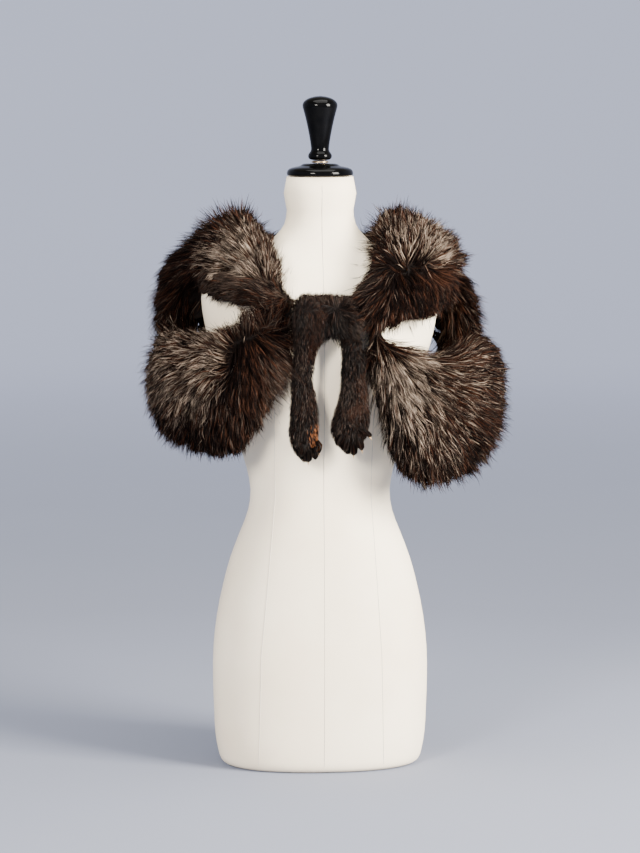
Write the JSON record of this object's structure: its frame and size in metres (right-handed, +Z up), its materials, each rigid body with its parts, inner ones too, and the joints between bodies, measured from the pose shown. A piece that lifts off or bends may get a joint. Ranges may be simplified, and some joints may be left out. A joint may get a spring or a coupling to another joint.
{
  "type": "fur collar stole on dress form",
  "caption": "Long-haired silver and dark fur collar stole with two hanging fur legs, worn off the neck on a limbless canvas dress form with a black knob.",
  "frame": {"origin": "centre of the dress form's flat base, on the surface it stands on", "axes": "+Z up along the form, -Y to the wearer's front, +X to the wearer's left"},
  "size_m": [0.5739, 0.3442, 1.076],
  "materials": {
    "silver_fur": "long fur, pale bands and dark tips",
    "dark_fur": "long dark brown fur",
    "sleek_fur": "short sleek dark fur",
    "form_canvas": "fine cream canvas",
    "black_lacquer": "gloss black lacquer",
    "brass": "worn brass"
  },
  "bodies": {
    "root": {"collar_left": "silver_fur", "collar_right": "silver_fur", "under_left": "dark_fur", "under_right": "dark_fur", "side_left": "dark_fur", "side_right": "dark_fur", "flap_left": "silver_fur", "flap_right": "silver_fur", "back_upper": "silver_fur", "back_lower": "silver_fur", "front_band": "sleek_fur", "leg_left": "sleek_fur", "leg_right": "sleek_fur", "form_body": "form_canvas", "neck_cap": "black_lacquer", "ferrule": "brass", "knob": "black_lacquer"}
  },
  "joints": []
}
